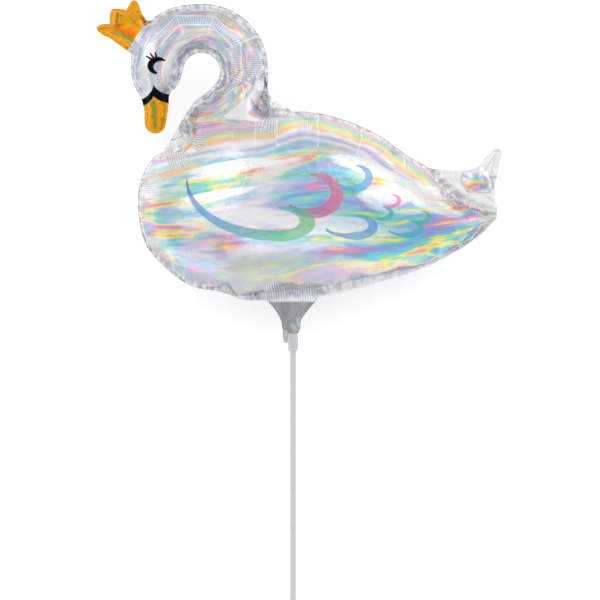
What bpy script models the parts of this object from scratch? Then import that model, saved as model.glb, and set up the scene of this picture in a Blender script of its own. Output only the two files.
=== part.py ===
"""Swan foil balloon with its collar and stick, lying on its side. Metres, +Z up."""

import math

import bmesh
import bpy
import numpy as np
from mathutils import Vector
from mathutils.geometry import delaunay_2d_cdt

# Sizes of the balloon
LENGTH = 0.3556
SEAM_WIDTH = 0.0028
FOIL_THICKNESS = 0.001
FULLNESS = 0.9
FILLING_LENGTH = 0.0295
TONGUE_LENGTH = 0.004
FLAP_WIDTH = 0.0042
FLAP_LENGTH = 0.008
FLAP_TAPER = 0.8

# Sizes of the stick and its collar
STICK_DIAMETER = 0.0052
STICK_WALL = 0.0008
STICK_LENGTH = 0.4
COLLAR_WALL = 0.0015
COLLAR_LENGTH = 0.015
COLLAR_ROUNDING = 0.0011
CLEARANCE = 0.0003

# How the balloon lies: the depth of the flat spot under its belly
REST_FLAT_DEPTH = 0.0015

# Folds in the foil
PUCKER_SPACING = 0.02
PUCKER_REACH = 0.014
PUCKER_DEPTH = 0.16
NECK_FACETS = 9
NECK_CREASE_DEPTH = 0.09
NECK_CREASE_SPREAD = 0.16
NECK_CREASE_REACH = 1.15
NECK_CREASE_FADE = 0.2

# How finely the shapes are cut into facets
EDGE_STEP = LENGTH / 64
SHEET_STEP = LENGTH / 54
GRID_CLEARANCE = 0.55
SHOULDER = 0.0014
ROUND_STEPS = 24
ROUNDING_STEPS = 4
SHARP_EDGE = math.radians(50)
SAME_POINT = 1e-6

# The search for the angle at which the balloon lies
STEEPEST_LEAN = math.radians(45)
HALVINGS = 60

# The stick lies along X = 0. The outline is in thousandths of LENGTH, measured from the
# point where the stick's line meets the belly's edge, X towards the tail and Y towards the back.
ARCH_CENTRE = (-226, 564)
ARCH_INNER_RADIUS = 46
ARCH_OUTER_RADIUS = 160
BEAK_END_CENTRE = (-340, 437)
BEAK_END_RADIUS = 26


def arc(centre, radius, start, end, count):
    """Points on a circle, from the start angle to the end angle in degrees."""
    angles = [math.radians(start + (end - start) * i / (count - 1)) for i in range(count)]
    return [(centre[0] + radius * math.cos(a), centre[1] + radius * math.sin(a)) for a in angles]


# Each run is smooth and ends in a corner, which the next run starts from. Beside it are the
# widths of the flat border along the run, as multiples of SEAM_WIDTH. Runs go clockwise.
NECK_WEB = ([(-321, 364), (-289, 415), (-274, 442)], (1.2, 4.6, 4.6, 1.2))
ARCH_INSIDE = (
    [(-274, 442), (-244, 487), (-207, 517)]
    + arc(ARCH_CENTRE, ARCH_INNER_RADIUS, -25, 172, 8)
    + [(-282, 536), (-305, 508)],
    (1.2, 0.9, 0.9, 0.9),
)
BEAK = (
    [(-305, 508), (-309, 470)]
    + arc(BEAK_END_CENTRE, BEAK_END_RADIUS, 0, -180, 7)
    + [(-367, 470), (-374, 495)],
    (0.9, 0.7, 0.7, 0.9),
)
HEAD_FRONT = ([(-374, 495), (-397, 543), (-400, 570), (-399, 607)], (0.9, 1, 0.8))
CROWN_FRONT = ([(-399, 607), (-452, 646), (-483, 666), (-485, 674), (-477, 679), (-452, 682)], (0.8, 0.6, 0.6))
CROWN_MIDDLE = ([(-452, 682), (-451, 712), (-446, 719), (-430, 719), (-412, 716)], (0.6, 0.6, 0.6))
CROWN_TOP = ([(-412, 716), (-400, 736), (-393, 741), (-386, 737), (-375, 712), (-358, 684)], (0.6, 0.6, 0.8))
NECK_BACK = (
    [(-358, 684), (-336, 703), (-308, 718), (-275, 727)]
    + arc((-222, 571), ARCH_OUTER_RADIUS, 93, -2, 8)
    + [(-65, 509), (-77, 463)],
    (0.8, 1, 1, 1, 1),
)
BACK = ([(-77, 463), (-50, 461), (30, 465), (116, 448), (207, 409), (294, 350), (338, 325)], (1, 1, 1, 1, 1))
TAIL_CREASE = ([(338, 325), (376, 280), (430, 240), (503, 214)], (1, 0.9, 0.8))
TAIL_HEEL = ([(503, 214), (501, 200)], (0.8, 0.8))
BELLY = ([(501, 200), (452, 152), (383, 109), (316, 77), (240, 52), (141, 22), (62, 4)],
         (0.8, 1, 1, 1.2, 1.7, 2.4, 3.1, 3.3, 3.2))
CHEST = ([(-65, 0), (-122, 1), (-176, 20), (-242, 31), (-311, 76), (-363, 137), (-382, 222), (-374, 301),
          (-338, 356), (-321, 364)],
         (2.4, 1, 1, 1, 1, 1, 1, 1, 1.2))
FRONT_RUNS = (NECK_WEB, ARCH_INSIDE, BEAK, HEAD_FRONT, CROWN_FRONT, CROWN_MIDDLE, CROWN_TOP, NECK_BACK, BACK)
REAR_RUNS = (TAIL_HEEL, BELLY)

# The tail's fan is flat film above the crease, but for a small filled pocket.
FAN_TOP = [(338, 325), (417, 319), (450, 325), (489, 366), (505, 376), (514, 371), (511, 345), (504, 309)]
FAN_REAR = [(504, 309), (499, 280), (497, 247)]
FAN_FOOT = [(497, 247), (503, 230), (503, 214)]
POCKET_CENTRE = (455, 292)
POCKET_RADIUS = 27
POCKET_HEIGHT = 13

# The filling tail's sides curve in on their way down to the collar. Each knot is an X in
# thousandths of LENGTH and a share of FILLING_LENGTH.
FILLING_RIGHT = ((27, 0.46), (20, 0.6), (18.5, 0.78))
FILLING_LEFT = ((-30, 0.6), (-42, 0.34))

# Sizes that follow from those above
THOUSANDTH = LENGTH / 1000
STICK_RADIUS = STICK_DIAMETER / 2
COLLAR_BORE = STICK_RADIUS + CLEARANCE
COLLAR_RADIUS = COLLAR_BORE + COLLAR_WALL
COLLAR_TOP = -FILLING_LENGTH
STICK_TOP = COLLAR_TOP - TONGUE_LENGTH - CLEARANCE
STICK_END = STICK_TOP - STICK_LENGTH


def clear_scene():
    for obj in list(bpy.data.objects):
        bpy.data.objects.remove(obj, do_unlink=True)


def make_material(name, color, metallic, roughness, transmission=0.0):
    material = bpy.data.materials.new(name)
    material.use_nodes = True
    shader = material.node_tree.nodes["Principled BSDF"]
    shader.inputs["Base Color"].default_value = (*color, 1)
    shader.inputs["Metallic"].default_value = metallic
    shader.inputs["Roughness"].default_value = roughness
    shader.inputs["Transmission Weight"].default_value = transmission
    material.diffuse_color = (*color, 1)
    return material


def smooth_run(knots, step):
    """Points about a step apart on a smooth curve through the knots, without the last knot."""
    knots = np.array(knots, float)
    chords = np.diff(knots, axis=0)
    lengths = np.linalg.norm(chords, axis=1)
    slopes = chords / lengths[:, None]
    tangents = np.empty_like(knots)
    before, after = lengths[:-1, None], lengths[1:, None]
    tangents[1:-1] = (slopes[:-1] * after + slopes[1:] * before) / (before + after)
    tangents[0] = slopes[0]
    tangents[-1] = slopes[-1]
    points = []
    for i, length in enumerate(lengths):
        count = max(1, round(length / step))
        t = np.arange(count)[:, None] / count
        points.append(
            (2 * t**3 - 3 * t**2 + 1) * knots[i]
            + (t**3 - 2 * t**2 + t) * length * tangents[i]
            + (3 * t**2 - 2 * t**3) * knots[i + 1]
            + (t**3 - t**2) * length * tangents[i + 1]
        )
    return np.concatenate(points)


def run_in_metres(knots):
    return smooth_run(np.array(knots) * THOUSANDTH, EDGE_STEP)


def run_points(run):
    """A run's points in metres, and the width of the flat border at each."""
    knots, widths = run
    points = run_in_metres(knots)
    along = np.linspace(0, 1, len(points), endpoint=False)
    border = np.interp(along, np.linspace(0, 1, len(widths)), widths) * SEAM_WIDTH
    return points, border


def filling_tail():
    """The flat tail below the belly, with its tongue in the collar and a flap beside the collar."""
    belly_end = np.array(BELLY[0][-1]) * THOUSANDTH
    chest_start = np.array(CHEST[0][0]) * THOUSANDTH
    foot = COLLAR_TOP + CLEARANCE
    tongue = COLLAR_BORE - CLEARANCE
    beside = -COLLAR_RADIUS - CLEARANCE
    right_knots = [(x * THOUSANDTH, share * COLLAR_TOP) for x, share in FILLING_RIGHT]
    left_knots = [(x * THOUSANDTH, share * COLLAR_TOP) for x, share in FILLING_LEFT]
    right = [belly_end, *right_knots, (COLLAR_RADIUS, foot)]
    left = [(beside - FLAP_WIDTH, COLLAR_TOP), *left_knots, chest_start]
    corners = [
        (COLLAR_RADIUS, foot),
        (tongue, foot),
        (tongue, COLLAR_TOP - TONGUE_LENGTH),
        (-tongue, COLLAR_TOP - TONGUE_LENGTH),
        (-tongue, foot),
        (beside, foot),
        (beside, COLLAR_TOP - FLAP_LENGTH),
        (beside - FLAP_TAPER * FLAP_WIDTH, COLLAR_TOP - FLAP_LENGTH),
    ]
    return np.concatenate([smooth_run(right, EDGE_STEP), corners, smooth_run(left, EDGE_STEP)])


def moved_inward(points, distances):
    """A closed clockwise loop with each point moved to its right-hand side."""
    along = np.roll(points, -1, axis=0) - np.roll(points, 1, axis=0)
    along /= np.linalg.norm(along, axis=1)[:, None]
    inward = np.stack([along[:, 1], -along[:, 0]], axis=1)
    return points + inward * distances[:, None]


def is_inside(points, loop):
    """For each point, whether it lies inside a closed loop."""
    ends = np.roll(loop, -1, axis=0)
    x, y = points[:, :1], points[:, 1:]
    crosses = (loop[:, 1] > y) != (ends[:, 1] > y)
    rise = np.where(ends[:, 1] == loop[:, 1], 1, ends[:, 1] - loop[:, 1])
    meets = loop[:, 0] + (y - loop[:, 1]) / rise * (ends[:, 0] - loop[:, 0])
    return (crosses & (x < meets)).sum(axis=1) % 2 == 1


def nearest(points, loop):
    """For each point, the distance to the loop's nearest point and that point's number."""
    distances = np.linalg.norm(points[:, None] - loop[None], axis=2)
    return distances.min(axis=1), distances.argmin(axis=1)


def loop_edges(first, count):
    return [(first + i, first + (i + 1) % count) for i in range(count)]


def flat_pattern():
    """The seam's loop, and a flat triangle mesh of the outline and the seam with what is inside."""
    front = [run_points(run) for run in FRONT_RUNS]
    crease = run_points(TAIL_CREASE)
    rear = [run_points(run) for run in REAR_RUNS]
    chest = run_points(CHEST)
    fan = [run_in_metres(knots) for knots in (FAN_TOP, FAN_REAR, FAN_FOOT)]
    shown_front = [points for points, _ in front]
    shown_rear = [points for points, _ in rear]
    outline = np.concatenate(shown_front + fan + shown_rear + [filling_tail(), chest[0]])
    filled = front + [crease] + rear + [chest]
    seam = moved_inward(*(np.concatenate(values) for values in zip(*filled)))
    shoulder = moved_inward(seam, np.full(len(seam), SHOULDER))
    low, high = outline.min(axis=0), outline.max(axis=0)
    row_height = SHEET_STEP * math.sqrt(3) / 2
    rows = int((high[1] - low[1]) / row_height) + 1
    columns = int((high[0] - low[0]) / SHEET_STEP) + 1
    grid = np.array([
        (low[0] + (column + 0.5 * (row % 2)) * SHEET_STEP, low[1] + row * row_height)
        for row in range(rows)
        for column in range(columns)
    ])
    grid = grid[is_inside(grid, outline)]
    for loop in (outline, seam, shoulder):
        grid = grid[nearest(grid, loop)[0] > GRID_CLEARANCE * SHEET_STEP]
    points = np.concatenate([outline, seam, shoulder, grid])
    edges = loop_edges(0, len(outline)) + loop_edges(len(outline), len(seam))
    vectors, _, triangles = delaunay_2d_cdt([Vector(p) for p in points], edges, [], 1, 1e-7)[:3]
    return seam, np.array([v[:] for v in vectors]), np.array(triangles)


def filled_height(points, triangles, held):
    """Half the thickness of two sheets joined along held points and blown up.

    A film under pressure takes the height u that solves the Poisson equation with a slope of -1,
    and the square root of 2u makes a long tube round.
    """
    count = len(points)
    stiffness = np.zeros((count, count))
    load = np.zeros(count)
    for corner in range(3):
        a, b, c = (triangles[:, (corner + i) % 3] for i in range(3))
        to_a, to_b = points[a] - points[c], points[b] - points[c]
        area = np.abs(to_a[:, 0] * to_b[:, 1] - to_a[:, 1] * to_b[:, 0]) / 2
        weight = (to_a * to_b).sum(axis=1) / (4 * area)
        np.add.at(stiffness, (a, b), -weight)
        np.add.at(stiffness, (b, a), -weight)
        np.add.at(stiffness, (a, a), weight)
        np.add.at(stiffness, (b, b), weight)
        np.add.at(load, c, area / 3)
    free = np.flatnonzero(~held)
    u = np.zeros(count)
    u[free] = np.linalg.solve(stiffness[np.ix_(free, free)], load[free])
    return np.sqrt(2 * np.maximum(u, 0))


def fold_factor(points, seam):
    """What the puckers at the seam and the creases across the neck take off the thickness."""
    distance, number = nearest(points, seam)
    steps = np.linalg.norm(np.roll(seam, -1, axis=0) - seam, axis=1)
    along = (np.cumsum(steps) - steps)[number]
    waves = max(1, round(steps.sum() / PUCKER_SPACING))
    ridge = 0.5 - 0.5 * np.cos(2 * math.pi * waves * along / steps.sum())
    puckers = 1 - PUCKER_DEPTH * ridge * np.exp(-distance / PUCKER_REACH)
    offset = points - np.array(ARCH_CENTRE) * THOUSANDTH
    turn = np.arctan2(offset[:, 1], offset[:, 0]) * NECK_FACETS / (2 * math.pi)
    from_crease = np.abs(turn - np.round(turn)) / NECK_CREASE_SPREAD
    reach = np.linalg.norm(offset, axis=1) / (ARCH_OUTER_RADIUS * THOUSANDTH)
    on_arch = np.clip((NECK_CREASE_REACH - reach) / NECK_CREASE_FADE, 0, 1)
    creases = 1 - NECK_CREASE_DEPTH * on_arch * np.exp(-(from_crease**2))
    return puckers * creases


def upper_sheet():
    """The upper half of the balloon: points with their heights, triangles, and the outline's edges."""
    seam, points, triangles = flat_pattern()
    inside = is_inside(points, seam) & (nearest(points, seam)[0] > SHOULDER / 5)
    height = filled_height(points, triangles, ~inside) * FULLNESS * fold_factor(points, seam)
    from_pocket = np.linalg.norm(points / THOUSANDTH - POCKET_CENTRE, axis=1) / POCKET_RADIUS
    pocket = np.sqrt(np.maximum(1 - from_pocket**2, 0)) * POCKET_HEIGHT * THOUSANDTH
    height = np.maximum(height, np.where(inside, 0, pocket))
    return np.column_stack([points, height + FOIL_THICKNESS / 2]), triangles


def lean(points):
    """The angle about X at which the belly's flat spot and the stick's end both touch the floor."""
    low, high = 0.0, STEEPEST_LEAN
    for _ in range(HALVINGS):
        angle = (low + high) / 2
        belly = belly_drop(points, angle)
        stick = STICK_RADIUS * math.cos(angle) - STICK_END * math.sin(angle)
        low, high = (angle, high) if belly > stick else (low, angle)
    return angle


def belly_drop(points, angle):
    """How far the flat spot lies below the seam's plane at the origin, when leaning by the angle."""
    drop = points[:, 2] * math.cos(angle) - points[:, 1] * math.sin(angle)
    return drop.max() - REST_FLAT_DEPTH


def new_object(name, mesh, material, parent, collection):
    mesh.materials.append(material)
    mesh.shade_smooth()
    obj = bpy.data.objects.new(name, mesh)
    obj.parent = parent
    collection.objects.link(obj)
    return obj


def make_balloon(points, triangles, angle, material, parent, collection):
    """Both sheets with the rim between them, cut flat where the balloon lies."""
    shape = bmesh.new()
    corners = [shape.verts.new(p) for p in points]
    for a, b, c in triangles:
        shape.faces.new((corners[a], corners[b], corners[c]))
    bmesh.ops.recalc_face_normals(shape, faces=shape.faces)
    if sum(face.normal.z for face in shape.faces) < 0:
        bmesh.ops.reverse_faces(shape, faces=shape.faces)
    rim = bmesh.ops.extrude_edge_only(shape, edges=[e for e in shape.edges if e.is_boundary])
    for vert in rim["geom"]:
        if isinstance(vert, bmesh.types.BMVert):
            vert.co.z = 0
    half = shape.verts[:] + shape.edges[:] + shape.faces[:]
    bmesh.ops.mirror(shape, geom=half, axis="Z", merge_dist=SAME_POINT)
    up = Vector((0, math.sin(angle), math.cos(angle)))
    bmesh.ops.bisect_plane(
        shape,
        geom=shape.verts[:] + shape.edges[:] + shape.faces[:],
        dist=SAME_POINT,
        plane_co=-belly_drop(points, angle) * up,
        plane_no=up,
        clear_inner=True,
    )
    bmesh.ops.holes_fill(shape, edges=[e for e in shape.edges if e.is_boundary])
    bmesh.ops.recalc_face_normals(shape, faces=shape.faces)
    mesh = bpy.data.meshes.new("foil_balloon")
    shape.to_mesh(mesh)
    shape.free()
    balloon = new_object("foil_balloon", mesh, material, parent, collection)
    mesh.set_sharp_from_angle(angle=SHARP_EDGE)
    return balloon


def make_turned(name, profile, top, material, parent, collection):
    """A closed profile turned about the stick's line. Profile points are (radius, depth below the top)."""
    mesh = bpy.data.meshes.new(name)
    mesh.from_pydata([(radius, 0, -depth) for radius, depth in profile], loop_edges(0, len(profile)), [])
    turned = new_object(name, mesh, material, parent, collection)
    turned.location = (0, top, 0)
    turned.rotation_euler = (-math.pi / 2, 0, 0)
    screw = turned.modifiers.new("turned", "SCREW")
    screw.steps = ROUND_STEPS
    screw.render_steps = ROUND_STEPS
    screw.use_merge_vertices = True
    screw.merge_threshold = SAME_POINT
    return turned


def make_collar(material, parent, collection):
    turn = [(1 - math.cos(a), 1 - math.sin(a)) for a in np.linspace(0, math.pi / 2, ROUNDING_STEPS)]
    quarter = [(COLLAR_RADIUS - COLLAR_ROUNDING * x, COLLAR_LENGTH - COLLAR_ROUNDING * y) for x, y in turn]
    profile = [(COLLAR_BORE, 0), (COLLAR_RADIUS, 0)] + quarter + [(COLLAR_BORE, COLLAR_LENGTH)]
    return make_turned("collar", profile, COLLAR_TOP, material, parent, collection)


def make_stick(material, parent, collection):
    bore = STICK_RADIUS - STICK_WALL
    profile = [(bore, 0), (STICK_RADIUS, 0), (STICK_RADIUS, STICK_LENGTH), (bore, STICK_LENGTH)]
    return make_turned("stick", profile, STICK_TOP, material, parent, collection)


def make_part():
    collection = bpy.data.collections.new("swan_foil_balloon")
    bpy.context.scene.collection.children.link(collection)
    foil = make_material("iridescent_foil", (0.82, 0.84, 0.88), 0.55, 0.22)
    milky = make_material("milky_plastic", (0.86, 0.88, 0.89), 0, 0.3, 0.3)
    white = make_material("white_plastic", (0.8, 0.8, 0.8), 0, 0.35)
    lying = bpy.data.objects.new("lying", None)
    collection.objects.link(lying)
    points, triangles = upper_sheet()
    angle = lean(points)
    pieces = [
        make_balloon(points, triangles, angle, foil, lying, collection),
        make_collar(milky, lying, collection),
        make_stick(white, lying, collection),
    ]
    lying.rotation_euler = (angle, 0, 0)
    bpy.context.view_layer.update()
    corners = np.array([piece.matrix_world @ Vector(corner) for piece in pieces for corner in piece.bound_box])
    low, high = corners.min(axis=0), corners.max(axis=0)
    lying.location = (-(low[0] + high[0]) / 2, -(low[1] + high[1]) / 2, belly_drop(points, angle))
    bpy.context.view_layer.update()


clear_scene()
make_part()
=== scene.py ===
# %% [markdown]
# # A swan-shaped foil balloon on a stick
# The balloon is two sheets of thin pearly film, welded together round a flat border and blown
# up with air. A narrow filling tail below the belly sits in a small plastic collar, and a
# straight stick is pushed into the collar from below. The balloon can't stand by itself, so it
# lies on its side and the camera looks down on it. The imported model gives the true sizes, and
# this script makes the looks: the puckered film, its rainbow sheen and the printed face.

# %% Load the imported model
import math
from functools import reduce

import bmesh
import bpy
import numpy as np
from mathutils import Matrix, Vector, kdtree, noise
from mathutils.bvhtree import BVHTree
from mathutils.geometry import delaunay_2d_cdt


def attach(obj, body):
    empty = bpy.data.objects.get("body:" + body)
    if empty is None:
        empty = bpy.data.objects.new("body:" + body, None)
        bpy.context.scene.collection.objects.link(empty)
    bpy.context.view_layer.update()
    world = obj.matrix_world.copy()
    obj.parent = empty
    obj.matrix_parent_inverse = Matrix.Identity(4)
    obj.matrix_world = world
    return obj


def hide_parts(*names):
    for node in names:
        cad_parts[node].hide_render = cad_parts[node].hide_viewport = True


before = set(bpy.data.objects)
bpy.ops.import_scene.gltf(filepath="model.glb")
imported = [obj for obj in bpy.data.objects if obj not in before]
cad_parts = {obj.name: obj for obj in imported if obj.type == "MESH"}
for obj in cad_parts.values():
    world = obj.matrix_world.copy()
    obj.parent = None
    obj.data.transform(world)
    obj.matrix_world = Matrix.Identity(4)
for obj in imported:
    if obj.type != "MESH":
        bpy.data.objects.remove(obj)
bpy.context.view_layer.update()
MM = 0.001

# %% [markdown]
# ## The plane of the seam
# The seam between the two sheets is flat, but the balloon leans a little, because its belly is
# thick and the stick's end touches the floor too. Everything is easier to draw in the seam's own
# plane: X runs towards the tail, Y up the stick towards the back, and Z out of the plane. The
# stick's points give its direction, and one matrix then carries a piece from that plane to where
# it lies.

# %% Find how the balloon lies
FILLING_LENGTH = 29.5 * MM


def corners_of(name):
    return np.array([vert.co[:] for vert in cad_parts[name].data.vertices])


stick_points = corners_of("stick")
stick_middle = stick_points.mean(axis=0)
stick_direction = np.linalg.svd(stick_points - stick_middle, full_matrices=False)[2][0]
stick_direction *= np.sign(stick_direction[1])
up_the_stick = Vector(stick_direction)
towards_tail = Vector((1, 0, 0))
out_of_plane = towards_tail.cross(up_the_stick).normalized()
collar_top = ((corners_of("collar") - stick_middle) @ stick_direction).max()
lying = Matrix((towards_tail, up_the_stick, out_of_plane)).transposed().to_4x4()
lying.translation = Vector(stick_middle) + up_the_stick * (collar_top + FILLING_LENGTH)
lean = math.atan2(up_the_stick.z, up_the_stick.y)
print("the seam leans by", round(math.degrees(lean), 2), "degrees")

# %% [markdown]
# ## The camera
# A product photograph of a flat thing is taken square to it from far away. Here the camera looks
# down along the normal of the seam's plane, with a long lens, so the balloon keeps its outline.
# The frame cuts off the lower part of the stick.

# %% Place the camera
FRAME_WIDTH = 526.8 * MM
FRAME_MIDDLE = Vector((6.1 * MM, 0, 0))
LENS = 100
SENSOR = 36

camera_data = bpy.data.cameras.new("camera")
camera_data.lens = LENS
camera_data.sensor_width = SENSOR
camera = bpy.data.objects.new("camera", camera_data)
bpy.context.scene.collection.objects.link(camera)
distance = FRAME_WIDTH * LENS / SENSOR
camera.matrix_world = lying @ Matrix.Translation(FRAME_MIDDLE + Vector((0, 0, distance)))
bpy.context.scene.camera = camera
print("the camera is", round(distance, 3), "m from the seam")

# %% [markdown]
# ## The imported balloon's outline
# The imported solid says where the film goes. A copy of it, moved into the seam's plane and with
# its doubled corners merged, gives three things: the loop where the film starts to rise, the loop
# of the border's outer edge, and the height of the film anywhere between them.

# %% Read the seam and the border's edge
SOLID_HALF_BORDER = 0.5 * MM
LEVEL = 0.03 * MM
CLEARLY_BELOW = 0.1 * MM
SOLID_SAME_POINT = 0.002 * MM

solid = bmesh.new()
solid.from_mesh(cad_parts["foil_balloon"].data)
solid.transform(lying.inverted())
bmesh.ops.remove_doubles(solid, verts=solid.verts, dist=SOLID_SAME_POINT)
solid_tree = BVHTree.FromBMesh(solid)


def is_level(item):
    return all(abs(vert.co.z - SOLID_HALF_BORDER) < LEVEL for vert in item.verts)


def goes_below(face):
    return any(vert.co.z < SOLID_HALF_BORDER - CLEARLY_BELOW for vert in face.verts)


level_edges = [edge for edge in solid.edges if is_level(edge)]
seam_edges = [
    edge for edge in level_edges
    if sum(map(is_level, edge.link_faces)) == 1 and not any(map(goes_below, edge.link_faces))
]
border_edges = [edge for edge in level_edges if any(map(goes_below, edge.link_faces))]


def longest_loop(edges):
    """The corners of the longest closed loop in some edges, anticlockwise from the leftmost one."""
    edges, best = dict.fromkeys(edges), []
    while edges:
        edge = edges.popitem()[0]
        start, now = edge.verts
        loop = [start, now]
        while now != start:
            step = next((link for link in now.link_edges if link in edges), None)
            if step is None:
                break
            del edges[step]
            now = step.other_vert(now)
            if now != start:
                loop.append(now)
        best = max(best, loop, key=len)
    points = np.array([vert.co[:2] for vert in best])
    following = np.roll(points, -1, axis=0)
    turn = (points[:, 0] * following[:, 1] - following[:, 0] * points[:, 1]).sum()
    points = points if turn > 0 else points[::-1]
    return np.roll(points, -points[:, 0].argmin(), axis=0)


seam_corners = longest_loop(seam_edges)
border_corners = longest_loop(border_edges)
print("the seam has", len(seam_corners), "corners and the border's edge", len(border_corners))

# %% [markdown]
# ## Smooth loops
# The solid's outline is cut into straight edges. A smooth curve through its corners gives the
# film's real edge back: each stretch is a cubic curve whose ends point along the chord between
# the neighbours, except at a sharp corner, such as a tip of the crown, where it stays straight.

# %% Draw smooth loops through the corners
SHARP = math.radians(38)


def smooth_loop(corners, step):
    """Points about a step apart on a smooth closed curve through the corners, keeping sharp ones."""
    before, after = np.roll(corners, 1, axis=0), np.roll(corners, -1, axis=0)
    chords = after - corners
    heading = np.arctan2(chords[:, 1], chords[:, 0])
    turn = np.abs((heading - np.roll(heading, 1) + math.pi) % (2 * math.pi) - math.pi)
    tangents = (after - before) / np.linalg.norm(after - before, axis=1)[:, None]
    points = []
    for i in range(len(corners)):
        j = (i + 1) % len(corners)
        length = np.linalg.norm(chords[i])
        start = chords[i] if turn[i] > SHARP else tangents[i] * length
        end = chords[i] if turn[j] > SHARP else tangents[j] * length
        count = max(1, round(length / step))
        t = np.arange(count)[:, None] / count
        points.append(
            (2 * t**3 - 3 * t**2 + 1) * corners[i] + (t**3 - 2 * t**2 + t) * start
            + (3 * t**2 - 2 * t**3) * corners[j] + (t**3 - t**2) * end
        )
    return np.concatenate(points)


def outward(loop):
    """Unit vectors that point out of an anticlockwise loop."""
    along = np.roll(loop, -1, axis=0) - np.roll(loop, 1, axis=0)
    along /= np.linalg.norm(along, axis=1)[:, None]
    return np.stack([along[:, 1], -along[:, 0]], axis=1)


def averaged(values, rounds):
    """Values round a loop, each averaged with its neighbours."""
    for _ in range(rounds):
        values = (np.roll(values, 1, axis=0) + 2 * values + np.roll(values, -1, axis=0)) / 4
    return values


FILM_STEP = 2.7 * MM
FLATTENING = 1.18
seam = smooth_loop(seam_corners, FILM_STEP / FLATTENING)
border = smooth_loop(border_corners, FILM_STEP)
print("smooth seam", len(seam), "points, border", len(border))

# %% [markdown]
# ## The film laid out flat
# Near the seam the filled film stands almost upright, so a mesh with even triangles in plan would
# have long thin ones there. A real balloon is cut from flat film, and its flat shape is larger
# than the filled one: a round tube of radius r takes a flat strip a quarter turn wide on each
# side, so the seam moves out by (pi / 2 - 1) r. Even triangles are laid in that larger flat shape
# and carried back, and they come out even on the round form too.

# %% Work out the flat shape
PROBE = 3 * MM
SOLID_FULLNESS = 0.9
CLOSEST = 0.42


def solid_height(x, y):
    """The solid's height above its flat border, from above."""
    hit = solid_tree.ray_cast(Vector((x, y, 1)), Vector((0, 0, -1)))[0]
    return max(hit.z - SOLID_HALF_BORDER, 0) if hit else 0


normals = outward(seam)
probed = np.array([solid_height(*(point - normal * PROBE)) for point, normal in zip(seam, normals)])
radius = averaged(((probed / SOLID_FULLNESS) ** 2 + PROBE**2) / (2 * PROBE), 12)


def room_outside(loop, headings):
    """How far each point can move out before it meets the loop again."""
    ends = np.roll(loop, -1, axis=0)
    room = np.full(len(loop), 1.0)
    for i, (point, heading) in enumerate(zip(loop, headings)):
        to_start, to_end = loop - point, ends - point
        side_start = heading[0] * to_start[:, 1] - heading[1] * to_start[:, 0]
        side_end = heading[0] * to_end[:, 1] - heading[1] * to_end[:, 0]
        crosses = (side_start > 0) != (side_end > 0)
        crosses[[i - 2, i - 1, i, (i + 1) % len(loop)]] = False
        share = side_start / np.where(side_start == side_end, 1, side_start - side_end)
        ahead = (to_start + (to_end - to_start) * share[:, None]) @ heading
        met = ahead[crosses & (ahead > 0.1 * MM)]
        if len(met):
            room[i] = met.min()
    return room


room = CLOSEST * room_outside(seam, normals)
growth = np.minimum((math.pi / 2 - 1) * radius, room)
for _ in range(6):
    growth = np.minimum(averaged(growth, 2), room)
flat_normals = averaged(normals, 2)
flat_normals /= np.linalg.norm(flat_normals, axis=1)[:, None]
flat_seam = seam + flat_normals * growth[:, None]
print("the flat shape is up to", round(growth.max() / MM, 1), "mm wider on each side")

# %% [markdown]
# ## Even triangles
# A field of points in rows like a honeycomb, joined by a Delaunay triangulation that keeps the
# edge loops, is the most even mesh for a sheet of film. It has no long direction of its own, so
# the folds that the simulation makes don't follow the mesh.

# %% Fill a loop with triangles


def is_inside(points, loop):
    """For each point, whether it lies inside a closed loop."""
    ends = np.roll(loop, -1, axis=0)
    rise = np.where(ends[:, 1] == loop[:, 1], 1, ends[:, 1] - loop[:, 1])
    inside = []
    for part in np.array_split(points, max(1, len(points) // 4000)):
        x, y = part[:, :1], part[:, 1:]
        crosses = (loop[:, 1] > y) != (ends[:, 1] > y)
        meets = loop[:, 0] + (y - loop[:, 1]) / rise * (ends[:, 0] - loop[:, 0])
        inside.append((crosses & (x < meets)).sum(axis=1) % 2 == 1)
    return np.concatenate(inside)


def nearest(points, loop):
    """For each point, the distance to the loop's nearest point and that point's number."""
    distances, numbers = [], []
    for part in np.array_split(points, max(1, len(points) // 2000)):
        gaps = np.linalg.norm(part[:, None] - loop[None], axis=2)
        distances.append(gaps.min(axis=1))
        numbers.append(gaps.argmin(axis=1))
    return np.concatenate(distances), np.concatenate(numbers)


def honeycomb(low, high, step):
    row_height = step * math.sqrt(3) / 2
    rows = int((high[1] - low[1]) / row_height) + 1
    columns = int((high[0] - low[0]) / step) + 1
    return np.array([
        (low[0] + (column + 0.5 * (row % 2)) * step, low[1] + row * row_height)
        for row in range(rows) for column in range(columns)
    ])


def triangles_between(outer, inner, step, clear):
    """A triangle mesh inside the outer loop, and outside the inner one if there is one."""
    loops = [outer] if inner is None else [outer, inner]
    field = honeycomb(outer.min(axis=0), outer.max(axis=0), step)
    field = field[is_inside(field, outer)]
    if inner is not None:
        field = field[~is_inside(field, inner)]
    for loop in loops:
        field = field[nearest(field, loop)[0] > clear * step]
    points = np.concatenate(loops + [field])
    edges, first = [], 0
    for loop in loops:
        edges += [(first + i, first + (i + 1) % len(loop)) for i in range(len(loop))]
        first += len(loop)
    found, _, faces = delaunay_2d_cdt([Vector(p) for p in points], edges, [], 1, 1e-7)[:3]
    found, faces = np.array([v[:] for v in found]), np.array(faces)
    if inner is not None:
        faces = faces[~is_inside(found[faces].mean(axis=1), inner)]
    return found, faces


flat_points, film_faces = triangles_between(flat_seam, None, FILM_STEP, 0.6)
print("the film's flat mesh has", len(film_faces), "triangles")

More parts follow.
